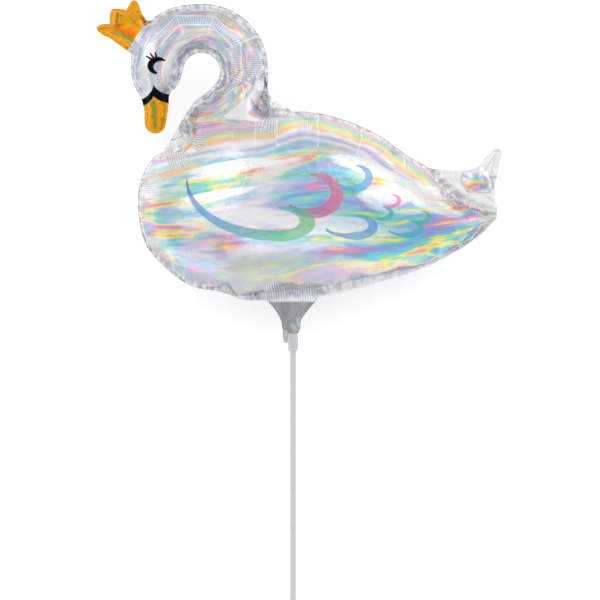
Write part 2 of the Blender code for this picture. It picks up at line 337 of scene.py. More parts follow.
# %% [markdown]
# ## From flat to filled
# Each flat point now moves back to its place on the round form. Its distance from the flat seam
# is an arc on a tube of the local radius, and that arc's plan gives the shift inwards. The shifts
# are averaged between neighbours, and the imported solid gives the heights.

# %% Carry the flat mesh to the filled form
from_seam, seam_number = nearest(flat_points, flat_seam)
tube = growth[seam_number] / (math.pi / 2 - 1)
arc = np.maximum(tube * math.pi / 2 - from_seam, 0)
shift = arc - tube * np.sin(np.minimum(arc / tube, math.pi / 2))
towards = flat_seam[seam_number] - flat_points
length = np.linalg.norm(towards, axis=1)[:, None]
towards = np.where(length > 1e-6, towards / np.maximum(length, 1e-9), flat_normals[seam_number])
on_seam = from_seam < 1e-7
shifts = -towards * shift[:, None]
shifts[on_seam] = seam[seam_number[on_seam]] - flat_points[on_seam]

pairs = np.concatenate([film_faces[:, [0, 1]], film_faces[:, [1, 2]], film_faces[:, [2, 0]]])
pairs = np.unique(np.sort(pairs, axis=1), axis=0)


def evened(values, held, rounds):
    """Values at the mesh's points, averaged with their neighbours, but not where they are held."""
    links = np.bincount(pairs.ravel(), minlength=len(values))[:, None]
    for _ in range(rounds):
        total = np.zeros_like(values)
        np.add.at(total, pairs[:, 0], values[pairs[:, 1]])
        np.add.at(total, pairs[:, 1], values[pairs[:, 0]])
        values = np.where(held[:, None], values, (values + total / links) / 2)
    return values


plan = flat_points + evened(shifts, on_seam, 25)
height = np.array([solid_height(x, y) for x, y in plan])
height[on_seam] = 0
filled = evened(np.column_stack([plan, height]), on_seam, 3)
print("the filled film rises", round(filled[:, 2].max() / MM, 1), "mm above the seam")

# %% [markdown]
# ## Air pressure and puckers
# The film doesn't stretch, so when the balloon fills, the film beside the seam is too long for
# the curve that it has to follow, and it folds into the puckers that every foil balloon has.
# Blender's cloth simulation makes them: the sheet is held at the seam, pressure pushes it out,
# and a vertex group leaves slack beside the seam and none in the middle. Film this light has
# almost no weight against the pressure, so gravity is off. The simulation runs ten times life
# size, where the solver's default tolerances suit it.

# %% Simulate one sheet of film
SIM_SCALE = 10
SIM_FRAMES = 26
SLACK = 0.2
SLACK_REACH = 0.8
SLACK_NARROWEST, SLACK_WIDEST = 6 * MM, 46 * MM


def simulated(points, faces):
    """The points of the film after the pressure has pushed it out."""
    mesh = bpy.data.meshes.new("film_trial")
    mesh.from_pydata((points * SIM_SCALE).tolist(), [], faces.tolist())
    if sum(face.normal.z for face in mesh.polygons) < 0:
        mesh.flip_normals()
    sheet = bpy.data.objects.new("film_trial", mesh)
    bpy.context.scene.collection.objects.link(sheet)
    held = sheet.vertex_groups.new(name="held")
    held.add(np.flatnonzero(on_seam).tolist(), 1, "REPLACE")
    tight = sheet.vertex_groups.new(name="tight")
    reach = np.clip(SLACK_REACH * tube, SLACK_NARROWEST, SLACK_WIDEST)
    for i, share in enumerate(np.clip(from_seam / reach, 0, 1)):
        tight.add([i], float(share), "REPLACE")
    cloth = sheet.modifiers.new("cloth", "CLOTH")
    film = cloth.settings
    film.quality = 8
    film.mass = 0.05
    film.air_damping = 1
    film.tension_stiffness = 40
    film.compression_stiffness = 40
    film.shear_stiffness = 10
    film.bending_stiffness = 0.01
    film.vertex_group_mass = "held"
    film.vertex_group_shrink = "tight"
    film.shrink_min = -SLACK
    film.shrink_max = 0
    film.use_pressure = True
    film.uniform_pressure_force = 10
    film.effector_weights.gravity = 0
    cloth.collision_settings.use_collision = False
    cloth.point_cache.frame_end = SIM_FRAMES
    for step in range(1, SIM_FRAMES + 1):
        bpy.context.scene.frame_set(step)
    result = sheet.evaluated_get(bpy.context.evaluated_depsgraph_get()).to_mesh()
    moved = np.empty(len(result.vertices) * 3, np.float32)
    result.vertices.foreach_get("co", moved)
    bpy.data.objects.remove(sheet, do_unlink=True)
    bpy.context.scene.frame_set(1)
    return moved.reshape(-1, 3).astype(float) / SIM_SCALE


rough = np.random.default_rng(3).uniform(0, 0.2 * MM, len(filled)) * ~on_seam
puckered = simulated(filled + rough[:, None] * np.array([0, 0, 1]), film_faces)
puckered[on_seam] = filled[on_seam]
print("the puckered film rises", round(puckered[:, 2].max() / MM, 1), "mm above the seam")

# %% [markdown]
# ## The flat border, the tail's fan and the filling tail
# Outside the seam the two sheets are welded together and lie flat: a narrow border all round, the
# fan at the tail and the filling tail below the belly. They are one more mesh between the seam
# and the outer edge. The small pocket of air in the fan takes its height from the solid.

# %% Mesh the welded film
FILM_HALF = 0.15 * MM
ON_THE_SEAM = 0.3 * MM

border_points, border_faces = triangles_between(border, seam, FILM_STEP, 0.55)
border_height = np.array([solid_height(x, y) for x, y in border_points])
border_height[nearest(border_points, seam)[0] < ON_THE_SEAM] = 0
border_points = np.column_stack([border_points, border_height + FILM_HALF])
puckered[:, 2] += FILM_HALF
print("the welded film has", len(border_faces), "triangles")

# %% [markdown]
# ## One upper sheet
# The two meshes are joined at the seam, cut finer and smoothed. Where the neck's back meets the
# body and along the belly's wide border, the simulated film folds deeper than the real one does,
# so those places, each a centre and a size in millimetres, are smoothed for longer.

# %% Join both meshes and smooth them
CALM_PLACES = (
    ((-24, 166), 28), ((-60, 14), 18), ((-45, 14), 18), ((-5, 14), 22), ((30, 22), 24),
    ((65, 32), 22), ((95, 34), 18),
)
CALM_ROUNDS = 30
SAME_POINT = 0.05 * MM
HELD_NEAR_SEAM = 0.8 * MM


def add_mesh(shape, points, faces):
    corners = [shape.verts.new(point) for point in points]
    for face in faces:
        shape.faces.new([corners[i] for i in face])


sheet = bmesh.new()
add_mesh(sheet, puckered, film_faces)
add_mesh(sheet, border_points, border_faces)
bmesh.ops.remove_doubles(sheet, verts=sheet.verts, dist=SAME_POINT)
bmesh.ops.recalc_face_normals(sheet, faces=sheet.faces)
if sum(face.normal.z for face in sheet.faces) < 0:
    bmesh.ops.reverse_faces(sheet, faces=sheet.faces)
print("open edges", sum(edge.is_boundary for edge in sheet.edges), "of", len(sheet.edges))
bmesh.ops.subdivide_edges(sheet, edges=sheet.edges, cuts=1, use_grid_fill=True)
seam_tree = kdtree.KDTree(len(seam))
for number, point in enumerate(seam):
    seam_tree.insert((*point, FILM_HALF), number)
seam_tree.balance()
free_verts = [
    vert for vert in sheet.verts
    if not vert.is_boundary and seam_tree.find(vert.co)[2] > HELD_NEAR_SEAM
]
calm_verts = [
    vert for vert in free_verts
    if any((vert.co.xy - Vector(centre) * MM).length < size * MM for centre, size in CALM_PLACES)
]
for rounds, verts in ((2, free_verts), (CALM_ROUNDS, calm_verts)):
    for _ in range(rounds):
        bmesh.ops.smooth_vert(
            sheet, verts=verts, factor=0.5, use_axis_x=True, use_axis_y=True, use_axis_z=True
        )
print("the upper sheet has", len(sheet.faces), "triangles,", len(calm_verts), "corners calmed")

# %% [markdown]
# ## Two sheets
# The second sheet is the mirror image of the first. A thin rim is extruded from the outer edge
# down to the seam's plane first, so that the two sheets meet there without a gap.

# %% Mirror the sheet and close the edge
rim = bmesh.ops.extrude_edge_only(sheet, edges=[edge for edge in sheet.edges if edge.is_boundary])
for item in rim["geom"]:
    if isinstance(item, bmesh.types.BMVert):
        item.co.z = 0
everything = sheet.verts[:] + sheet.edges[:] + sheet.faces[:]
bmesh.ops.mirror(sheet, geom=everything, axis="Z", merge_dist=0.001 * MM)
bmesh.ops.recalc_face_normals(sheet, faces=sheet.faces)
print("both sheets have", len(sheet.faces), "faces")

# %% [markdown]
# ## A wavy seam and creased film
# A real seam isn't quite flat: the puckers pull it up and down in short waves, which die out a
# few millimetres into the film. The film of the fan and of the filling tail is creased too. These
# waves move both sheets the same way, so they come after the mirror.

# %% Wave the seam and crease the flat film
WAVE_LENGTHS = (9 * MM, 14.5 * MM, 23 * MM)
WAVE_HEIGHT = 0.45 * MM
WAVE_REACH = 5 * MM
CREASE_HEIGHT = 0.7 * MM
CREASE_SIZE = 16 * MM
FAN_START = Vector((118 * MM, 108 * MM))
FAN_SLOPE = 0.5
TAIL_START = -1 * MM
CREASES_GROW = 8 * MM
BARELY_RAISED = 0.05 * MM

seam_steps = np.linalg.norm(np.roll(seam, -1, axis=0) - seam, axis=1)
along_seam = np.cumsum(seam_steps) - seam_steps
seam_length = seam_steps.sum()


def seam_wave(place):
    """The seam's rise at a distance along it. Each wave fits the seam a whole number of times."""
    total = 0
    for number, wave in enumerate(WAVE_LENGTHS):
        turns = round(seam_length / wave)
        total += math.sin(2 * math.pi * turns * place / seam_length + 2 * number)
    return total * WAVE_HEIGHT


def crease(x, y):
    """Sharp ridges with rounded hollows, as in crumpled film."""
    rough = noise.noise(Vector((x / CREASE_SIZE, y / CREASE_SIZE, 3)))
    finer = noise.noise(Vector((x / CREASE_SIZE * 2.1, y / CREASE_SIZE * 2.1, 8)))
    return (0.5 - abs(rough) * 2) + 0.5 * (0.5 - abs(finer) * 2)


seam_place = sheet.verts.layers.float.new("along_seam")
seam_distance = sheet.verts.layers.float.new("from_seam")
for vert in sheet.verts:
    x, y, z = vert.co
    _, number, gap = seam_tree.find((x, y, abs(z)))
    heading = seam[(number + 1) % len(seam)] - seam[number - 1]
    beyond = (x - seam[number][0]) * heading[0] + (y - seam[number][1]) * heading[1]
    vert[seam_place] = along_seam[number] + beyond / np.hypot(*heading)
    outside = solid_height(x, y) <= BARELY_RAISED
    gap_in_plane = seam_tree.find((x, y, FILM_HALF))[2]
    vert[seam_distance] = -gap_in_plane if outside else gap_in_plane
    rise = seam_wave(along_seam[number]) * math.exp(-gap / WAVE_REACH)
    in_fan = x > FAN_START.x and y > FAN_START.y - (x - FAN_START.x) * FAN_SLOPE
    if outside and (in_fan or y < TAIL_START):
        rise += CREASE_HEIGHT * crease(x, y) * min(1, gap / CREASES_GROW)
    vert.co.z += rise
print("the seam's waves are", [round(wave / MM, 1) for wave in WAVE_LENGTHS], "mm long")

# %% [markdown]
# ## Lying on the floor
# Where the belly lies on the floor, the film gives and makes a flat spot. The matrix found at the
# start carries the piece to its place, and no point may end below the floor.

# %% Lay the balloon down and make it one piece
sheet.transform(lying)
for vert in sheet.verts:
    vert.co.z = max(vert.co.z, 0)
print("the balloon has", sum(len(face.verts) - 2 for face in sheet.faces), "triangles",
      "and", sum(not edge.is_manifold for edge in sheet.edges), "open edges")
film_mesh = bpy.data.meshes.new("swan_film")
sheet.to_mesh(film_mesh)
sheet.free()
film_mesh.shade_smooth()
balloon = bpy.data.objects.new("swan_film", film_mesh)
bpy.context.scene.collection.objects.link(balloon)
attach(balloon, "root")
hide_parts("foil_balloon")

# %% [markdown]
# ## Shader sums as plain expressions
# Blender's material nodes do sums one node at a time. A small class that wraps a node's output
# socket lets the sums be written as ordinary Python, such as `1 - mask * 0.5`: each operator adds
# one Math node and wires it up. All other nodes come from one method.

# %% A wire that does sums, and a finish that makes nodes


class Wire:
    """A node's output. Sums with it add Math nodes."""

    def __init__(self, finish, socket):
        self.finish = finish
        self.socket = socket

    def sum(self, operation, *values):
        return self.finish.node("ShaderNodeMath", {"operation": operation}, dict(enumerate(values)))

    def __add__(self, other):
        return self.sum("ADD", self, other)

    def __sub__(self, other):
        return self.sum("SUBTRACT", self, other)

    def __rsub__(self, other):
        return self.sum("SUBTRACT", other, self)

    def __mul__(self, other):
        return self.sum("MULTIPLY", self, other)

    def __truediv__(self, other):
        return self.sum("DIVIDE", self, other)

    def __pow__(self, other):
        return self.sum("POWER", self, other)

    __radd__ = __add__
    __rmul__ = __mul__

    def low(self, other):
        return self.sum("MINIMUM", self, other)

    def high(self, other):
        return self.sum("MAXIMUM", self, other)

    def size(self):
        return self.sum("ABSOLUTE", self)

    def fraction(self):
        return self.sum("FRACT", self)

    def ripple(self):
        """Goes up and down between 0 and 1, once for each full turn."""
        return (self.sum("SINE", self) + 1) * 0.5

    def within(self, start, end):
        """Goes smoothly from 0 at the start value to 1 at the end value."""
        settings = {"interpolation_type": "SMOOTHSTEP"}
        return self.finish.node("ShaderNodeMapRange", settings, {0: self, 1: start, 2: end})


class Finish:
    """A material with its node tree and its Principled shader."""

    def __init__(self, name, **constants):
        self.material = bpy.data.materials.new(name)
        self.material.use_nodes = True
        self.tree = self.material.node_tree
        self.shader = self.tree.nodes["Principled BSDF"]
        for socket, value in constants.items():
            self.shader.inputs[socket.replace("_", " ")].default_value = value

    def node(self, kind, settings, inputs, output=0):
        made = self.tree.nodes.new(kind)
        for name, value in settings.items():
            if name == "stops":
                ramp = made.color_ramp
                while len(ramp.elements) < len(value):
                    ramp.elements.new(0.5)
                for element, (place, color) in zip(ramp.elements, value):
                    element.position, element.color = place, (*color, 1)
            else:
                setattr(made, name, value)
        for name, value in inputs.items():
            self.plug(value, made.inputs[name])
        return Wire(self, made.outputs[output])

    def plug(self, value, socket):
        if isinstance(value, Wire):
            self.tree.links.new(value.socket, socket)
        elif isinstance(value, tuple) and len(value) == 3 and socket.type == "RGBA":
            socket.default_value = (*value, 1)
        else:
            socket.default_value = value

    def mix(self, share, below, above):
        """A colour between two, by share."""
        return self.node("ShaderNodeMix", {"data_type": "RGBA"}, {0: share, 6: below, 7: above}, 2)

    def blur(self, place, scale, detail=2, roughness=0.5):
        """Soft random spots between 0 and 1, about 1 / scale apart."""
        inputs = {"Vector": place, "Scale": scale, "Detail": detail, "Roughness": roughness}
        return self.node("ShaderNodeTexNoise", {}, inputs)

    def point(self, x, y, z=0):
        return self.node("ShaderNodeCombineXYZ", {}, {0: x, 1: y, 2: z})

    def turn(self, y, x):
        """The angle of a direction from X, in radians."""
        return self.node("ShaderNodeMath", {"operation": "ARCTAN2"}, {0: y, 1: x})

    def attribute(self, name):
        return self.node("ShaderNodeAttribute", {"attribute_name": name}, {}, "Fac")

    def bump(self, height, distance, strength=1):
        inputs = {"Height": height, "Distance": distance, "Strength": strength}
        self.plug(self.node("ShaderNodeBump", {}, inputs), self.shader.inputs["Normal"])


print("the shader helpers are ready")

# %% [markdown]
# ## Pearly film
# The film is clear plastic with a metal layer so fine that it splits light into rainbow streaks.
# Real diffraction follows the light and the viewer and can't be baked into a model, so the hues
# are painted. All patterns are placed in the seam's plane, in millimetres. The camera sees high
# film a little further from the picture's middle than it lies, so each place is first moved
# outwards by that share, and a print then shows where the drawing has it.

# %% Place the patterns in the seam's plane, in millimetres
EYE_HEIGHT = distance / MM
EYE_X = FRAME_MIDDLE.x / MM

film = Finish("pearly_film", IOR=1.5, Coat_Roughness=0.1)
in_plane = film.node("ShaderNodeMapping", {"vector_type": "TEXTURE"}, {
    "Vector": film.node("ShaderNodeTexCoord", {}, {}, "Object"),
    "Location": lying.translation, "Rotation": (lean, 0, 0), "Scale": (MM, MM, MM),
})
flat_x, flat_y, z_mm = [film.node("ShaderNodeSeparateXYZ", {}, {0: in_plane}, axis) for axis in range(3)]
closer = z_mm.size() / EYE_HEIGHT + 1
x_mm = (flat_x - EYE_X) * closer + EYE_X
y_mm = flat_y * closer
along = film.attribute("along_seam") / MM
apart = film.attribute("from_seam") / MM


def from_place(centre, half_axes=(1, 1)):
    """How far a point lies from a centre, counted in the half axes of an ellipse."""
    to_x, to_y = (x_mm - centre[0]) / half_axes[0], (y_mm - centre[1]) / half_axes[1]
    return (to_x * to_x + to_y * to_y) ** 0.5


print("the patterns are drawn as seen from", round(EYE_HEIGHT), "mm above the seam")

# %% [markdown]
# ## Streaks that follow the form
# Streaks of hue run along the body and close in towards the tail, and round the neck they follow
# its curve. Noise makes such streaks when it is read at a stretched place. On the body that is
# the place along it, and a height that goes from about -1 at the belly to 1 at the back. On the
# neck it is the angle round the arch and the distance from the arch's middle. The angle's break
# is turned to the gap between neck and beak, where there is no film.

# %% Bend the noise into streaks
BODY_MIDDLE_Y = 81
BODY_HALF_LENGTH, BODY_HALF_HEIGHT = 190, 82
BODY_END_HALF = 10
BODY_SLIMMING = 0.75
REAR = (0, 90)
NECK_FOOT, NECK_BACK = (146, 166), (-28, -18)
ARCH = (-80.4, 200.6)
ARCH_TURN = math.radians(60)
STREAK_LENGTH = 105
STREAKS_ACROSS = 3.9
STREAK_TILT = 0.0013
STREAKS_ROUND_ARCH = 0.8
STREAKS_ACROSS_NECK = 0.11
SIDES_APART = 3

slimming = (1 - (x_mm / BODY_HALF_LENGTH) ** 2).high(0.02) ** BODY_SLIMMING
across_body = (y_mm - BODY_MIDDLE_Y) / (slimming * BODY_HALF_HEIGHT + BODY_END_HALF)
tailwards = x_mm.within(*REAR)
on_neck = y_mm.within(*NECK_FOOT) * (1 - x_mm.within(*NECK_BACK))
from_arch = from_place(ARCH)
ahead = (x_mm - ARCH[0]) * math.cos(ARCH_TURN) + (y_mm - ARCH[1]) * math.sin(ARCH_TURN)
beside = (y_mm - ARCH[1]) * math.cos(ARCH_TURN) - (x_mm - ARCH[0]) * math.sin(ARCH_TURN)
on_arch_x = film.turn(beside, ahead) * STREAKS_ROUND_ARCH
on_body_y = (across_body - x_mm * STREAK_TILT * (1 - tailwards)) * STREAKS_ACROSS
streak_x = x_mm / STREAK_LENGTH * (1 - on_neck) + on_arch_x * on_neck
streak_y = on_body_y * (1 - on_neck) + from_arch * STREAKS_ACROSS_NECK * on_neck


def streaks(finer_along, finer_across, number, detail=3, roughness=0.5):
    """Noise that follows the streaks. Each number has a pattern of its own."""
    place = film.point(streak_x * finer_along, streak_y * finer_across, number)
    return film.blur(place, 1, detail, roughness)


sheet_side = z_mm.within(-8, 8) * SIDES_APART
wandering = streaks(1, 1, sheet_side, roughness=0.6)
fine = streaks(1.7, 2.9, sheet_side + 7, detail=2)
print("a streak is about", STREAK_LENGTH, "mm long")

# %% [markdown]
# ## From streaks to hues
# The wandering noise and the film's slope give each place a hue on a closed ring of colours. Near
# an edge, where the film turns away, the slope changes fast, so the hues follow each other in
# narrow bands. More noise decides how strong the hue is against the white. The low belly is a
# calm beige, the neck is paler, and the rump and a patch on the breast are livelier. Ragged grey
# patches on the body are painted dark reflections of the studio.

# %% Turn streaks and slope into hues
RAINBOW = (
    (0.0, (0.42, 0.34, 0.70)), (0.14, (0.22, 0.42, 0.80)), (0.28, (0.16, 0.62, 0.74)),
    (0.42, (0.26, 0.70, 0.42)), (0.56, (1.0, 0.82, 0.18)), (0.69, (1.0, 0.44, 0.18)),
    (0.82, (0.86, 0.26, 0.46)), (0.93, (0.58, 0.30, 0.64)), (1.0, (0.42, 0.34, 0.70)),
)
WHITE_FILM, NECK_FILM = (0.84, 0.87, 0.90), (0.62, 0.65, 0.70)
BELLY_FILM, DARK_REFLECTION = (0.60, 0.58, 0.52), (0.30, 0.32, 0.38)
BELLY_TOP, RUMP_TOP = (-0.62, -0.30), (-0.1, 0.25)
BREAST, BREAST_HALF = (-82, 46), (36, 24)
HUE_BY_STREAKS, HUE_BY_FINE, HUE_BY_SLOPE, HUE_ACROSS = 3.6, 0.7, 1.2, 0.35
PATCHY_STRENGTH, FINE_STRENGTH, LIVELY_STRENGTH = 0.70, 0.36, 0.38
BELLY_CALM, NECK_CALM = 0.62, 0.35
STRONGEST = 0.95
BREAST_RAGGED, BREAST_EDGE, BREAST_LIVELY = 0.9, (0.55, 1.15), 0.85
PATCHY, FINE, THREADS, DARK_REFLECTION_SPOTS = (0.34, 0.56), (0.40, 0.66), (0.38, 0.62), (0.54, 0.68)
DARK_REFLECTION_COVER = 0.5

facing = film.node("ShaderNodeNewGeometry", {}, {}, "Normal")
steep = 1 - film.node("ShaderNodeSeparateXYZ", {}, {0: facing}, 2).size()
hue = wandering * HUE_BY_STREAKS + across_body * HUE_ACROSS + steep * HUE_BY_SLOPE + fine * HUE_BY_FINE
rainbow = film.node("ShaderNodeValToRGB", {"stops": RAINBOW}, {0: hue.fraction()})
breast = 1 - (from_place(BREAST, BREAST_HALF) + (fine - 0.5) * BREAST_RAGGED).within(*BREAST_EDGE)
beige = (1 - across_body.within(*BELLY_TOP)) * (1 - tailwards) * (1 - breast)
rump = tailwards * (1 - across_body.within(*RUMP_TOP))
lively = rump.high(breast * BREAST_LIVELY)
patchy = streaks(1.5, 0.9, 21, roughness=0.55).within(*PATCHY)
strength = patchy * PATCHY_STRENGTH + fine.within(*FINE) * FINE_STRENGTH + lively * LIVELY_STRENGTH
strength = strength * (1 - beige * BELLY_CALM) * (1 - on_neck * NECK_CALM)

threads = film.blur(film.point(streak_x * 2, from_arch * 0.9, 3), 1, 2).within(*THREADS)
neck = film.mix(threads, NECK_FILM, WHITE_FILM)
base = film.mix(on_neck, film.mix(beige * STRONGEST, WHITE_FILM, BELLY_FILM), neck)
# Painted dark reflections: ragged grey patches on the body, none on the neck.
painted_dark_reflection = streaks(2.3, 0.7, 61, roughness=0.6).within(*DARK_REFLECTION_SPOTS) * (1 - on_neck)
film_color = film.mix(painted_dark_reflection * DARK_REFLECTION_COVER, film.mix(strength.low(STRONGEST), base, rainbow), DARK_REFLECTION)
print("the ring of hues has", len(RAINBOW) - 1, "colours")

# %% [markdown]
# ## Bands along the back and painted white glare
# Beside the back's edge the film bends away evenly, so the hues, painted reflections, lie in narrow
# bands that follow the edge: pink, green, yellow, white, lavender and pale blue. Folds across the
# edge cut the bands into lengths, and the bands shift a little from one length to the next. Where
# the film faces the lamps, a painted highlight makes it plain white, in long ragged spots on the body.

# %% Draw the bands and the glare
BAND_DEPTH = 34
BAND_START, BAND_LENGTH = 22, 37.5
BAND_LINE, BAND_SCALE = 0.83, 85
BAND_COVER = 0.85
BAND_SHIFT, BAND_WANDER = 0.5, 0.35
BACK_START, LEFT_OF_BACK = (0.1, 0.4), (-30, 10)
BANDS = (
    (0.0, (0.78, 0.62, 0.86)), (0.09, (0.94, 0.50, 0.62)), (0.19, (0.34, 0.76, 0.60)),
    (0.30, (1.0, 0.82, 0.30)), (0.39, (1.0, 0.62, 0.40)), (0.47, (0.97, 0.97, 0.98)),
    (0.58, (0.60, 0.54, 0.80)), (0.68, (0.97, 0.97, 0.99)), (0.82, (0.36, 0.70, 0.84)),
    (1.0, (0.95, 0.96, 0.98)),
)
GLARE_HIGHLIGHT = (1.0, 1.0, 1.0)
GLARE_SPOTS, GLARE_COVER = (0.52, 0.60), 0.8
GLARE_RAGGED, GLARE_EDGE = 1.4, (0.75, 1.15)
GLARES = (
    ((-52, 118), (56, 5.0), 6), ((70, 114), (42, 6.5), -19),
    ((-68, 92), (34, 4.0), 9), ((120, 84), (34, 5.5), -22),
)

band_number = (x_mm - BAND_START) / BAND_LENGTH
shift = film.blur(film.point(band_number.sum("FLOOR", band_number) * 3.7, 0, 2), 1, 0)
leftwards = 1 - x_mm.within(*LEFT_OF_BACK)
edge_depth = apart * (1 - leftwards) + (BAND_LINE - across_body) * BAND_SCALE * leftwards
band_place = edge_depth / BAND_DEPTH + (shift - 0.5) * BAND_SHIFT + (wandering - 0.5) * BAND_WANDER
bands = film.node("ShaderNodeValToRGB", {"stops": BANDS}, {0: band_place})
in_band = edge_depth.within(-3, 2) * (1 - edge_depth.within(BAND_DEPTH * 0.6, BAND_DEPTH))
on_back = across_body.within(*BACK_START) * (1 - on_neck) * in_band
banded = film.mix(on_back * BAND_COVER, film_color, bands)

# Painted highlights: the lamps' glare as ragged white spots and ellipses on the body.
painted_glare = streaks(0.9, 0.8, 40).within(*GLARE_SPOTS) * (1 - beige) * GLARE_COVER
for centre, half_axes, turn in GLARES:
    to_x, to_y = x_mm - centre[0], y_mm - centre[1]
    cos, sin = math.cos(math.radians(turn)), math.sin(math.radians(turn))
    long, short = (to_x * cos + to_y * sin) / half_axes[0], (to_y * cos - to_x * sin) / half_axes[1]
    reach = (long * long + short * short) ** 0.5 + (fine - 0.5) * GLARE_RAGGED
    painted_glare = painted_glare.high(1 - reach.within(*GLARE_EDGE))
shining = film.mix(painted_glare * (1 - lively * 0.5), banded, GLARE_HIGHLIGHT)
print("the back has", len(BANDS), "bands and the body", len(GLARES), "glares")

# %% [markdown]
# ## White border and painted shade at the edge
# Outside the seam the two sheets lie flat on each other and are white. The border, and about a
# centimetre of the filled film beside it, gets painted grey shade for small folds that turn away
# from the light. Noise along the seam paints that shade, longer across the seam than along it.

# %% Whiten the border and grey the edge
BORDER_FILM = (1.0, 1.0, 1.0)
BORDER_START = (-0.3, 2.5)
RUMP_SHIFT = 3
EDGE_SHADE = (0.40, 0.42, 0.47)
EDGE_REACH = 13
EDGE_FOLD, EDGE_FOLDS = 5, (0.38, 0.62)
FLAT_FILM = (-9, -5)
EDGE_COVER, EDGE_BETWEEN_FOLDS = 0.75, 0.25
ON_BACK_LESS, ON_RUMP_LESS, ON_BELLY_MORE = 0.6, 0.5, 0.3

on_border = 1 - (apart + rump * RUMP_SHIFT).within(*BORDER_START)
bordered = film.mix(on_border, shining, BORDER_FILM)
# Painted shade of small folds along the edge, in grey noise streaks beside the seam.
fold_place = film.point(along / EDGE_FOLD, apart / EDGE_FOLD * 0.5, 31)
painted_fold_shade = film.blur(fold_place, 1, 3, 0.6).within(*EDGE_FOLDS)
near_edge = (1 - apart.within(-1, EDGE_REACH)) * apart.within(*FLAT_FILM) * (1 - rump * ON_RUMP_LESS)
edge_shade = near_edge * (painted_fold_shade * (1 - EDGE_BETWEEN_FOLDS) + EDGE_BETWEEN_FOLDS) * EDGE_COVER
edge_shade = edge_shade * (1 - on_back * ON_BACK_LESS) * (beige * ON_BELLY_MORE + 1)
bare_film = film.mix(edge_shade, bordered, EDGE_SHADE)
print("the grey edge reaches", EDGE_REACH, "mm into the film")

# %% [markdown]
# ## Feather tips
# Rows of curved feather tips are printed on the wing. Each is one stroke along part of an
# ellipse, thin at its ends and thick in the middle, with a colour that changes along it. The
# shader measures how far a point lies from the ellipse and along it, so the edge stays crisp at
# any size, where a drawn picture would show its pixels.

# %% Draw a stroke along an ellipse
SOFT_EDGE = 0.5


def drawn(distance):
    """1 where the distance is above 0, with a soft edge."""
    return distance.within(-SOFT_EDGE, SOFT_EDGE)


def ellipse_stroke(centre, half_axes, start, end, widths):
    """The mask of a stroke along an ellipse, and the share of the way along it.

    Angles are in degrees from X, widths are half the stroke at its start, middle and end.
    """
    reach = from_place(centre)
    scaled_x, scaled_y = (x_mm - centre[0]) / half_axes[0], (y_mm - centre[1]) / half_axes[1]
    round_size = from_place(centre, half_axes).high(0.01)
    middle = math.radians((start + end) / 2)
    turned_x = scaled_x * math.cos(middle) + scaled_y * math.sin(middle)
    turned_y = scaled_y * math.cos(middle) - scaled_x * math.sin(middle)
    share = film.turn(turned_y, turned_x) / math.radians(end - start) + 0.5
    first, centre_width, last = widths
    bend = 2 * first - 4 * centre_width + 2 * last
    slope = 4 * centre_width - 3 * first - last
    width = (share * bend + slope) * share + first
    mask = 1 - drawn((reach - reach / round_size).size() - width)
    return mask * share.sum("COMPARE", share, 0.5, 0.5), share


print("an ink edge fades over", 2 * SOFT_EDGE, "mm")

# %% [markdown]
# ## Eleven strokes on the wing
# Each row gives a stroke's ellipse, its two end angles, its three widths and its three colours. A
# large feather tip is two strokes that meet at the ellipse's foot, because its two halves bend
# differently.

# %% Draw the feather tips
INDIGO, BLUE, AQUA = (0.11, 0.10, 0.36), (0.10, 0.38, 0.74), (0.07, 0.50, 0.60)
GREEN, LEAF, SLATE = (0.14, 0.52, 0.30), (0.20, 0.58, 0.22), (0.13, 0.27, 0.50)
ROSE, PINK, MAUVE = (0.62, 0.24, 0.36), (0.80, 0.17, 0.36), (0.36, 0.14, 0.36)
FEATHERS = (
    ((15.8, 93.1), (22.8, 16.9), 96, -145, (0.2, 5.9, 0.8), (ROSE, PINK, MAUVE)),
    ((51.8, 108.0), (14.9, 10.5), 80, -140, (0.2, 3.8, 0.8), (SLATE, BLUE, AQUA)),
    ((-13.2, 105.4), (79.9, 49.2), 178, 270, (0.3, 3.8, 4.6), (INDIGO, BLUE, GREEN)),
    ((-13.2, 68.5), (25.9, 12.5), -90, 92, (4.6, 6.7, 0.3), (GREEN, LEAF, AQUA)),
    ((76.4, 76.4), (9.7, 5.5), 80, -130, (0.2, 2.3, 0.4), (SLATE, AQUA, AQUA)),
    ((85.2, 87.4), (7.9, 5.3), 85, -140, (0.2, 2.0, 0.3), (PINK, PINK, ROSE)),
    ((54.4, 62.7), (24.8, 6.4), 178, 270, (0.2, 2.8, 3.4), (INDIGO, SLATE, BLUE)),
    ((54.4, 65.0), (15.8, 8.7), -90, 88, (3.4, 4.2, 0.3), (BLUE, BLUE, AQUA)),
    ((101.8, 61.5), (17.6, 4.4), 178, 270, (0.2, 2.1, 2.6), (SLATE, BLUE, AQUA)),
    ((101.8, 63.2), (10.5, 6.1), -90, 88, (2.6, 2.8, 0.3), (AQUA, AQUA, GREEN)),
    ((110.6, 73.3), (8.6, 5.3), 85, -135, (0.2, 2.2, 0.3), (GREEN, GREEN, AQUA)),
)
PRINT_COVER = 0.78

printed = bare_film
for centre, half_axes, start, end, widths, colors in FEATHERS:
    mask, share = ellipse_stroke(centre, half_axes, start, end, widths)
    stops = tuple(zip((0.0, 0.5, 1.0), colors))
    color = film.node("ShaderNodeValToRGB", {"stops": stops}, {0: share})
    printed = film.mix(mask * PRINT_COVER, printed, color)
print("the wing has", len(FEATHERS), "strokes")

# %% [markdown]
# ## Crown and beak
# The crown and the beak are printed in gold, with greener and redder smudges where the film shows
# through. The crown begins at a straight line across the forehead. The beak lies inside a box
# round the lower face, and outside two circles that meet in a point above it. A smudge is a short
# line with a ragged edge of noise round it.

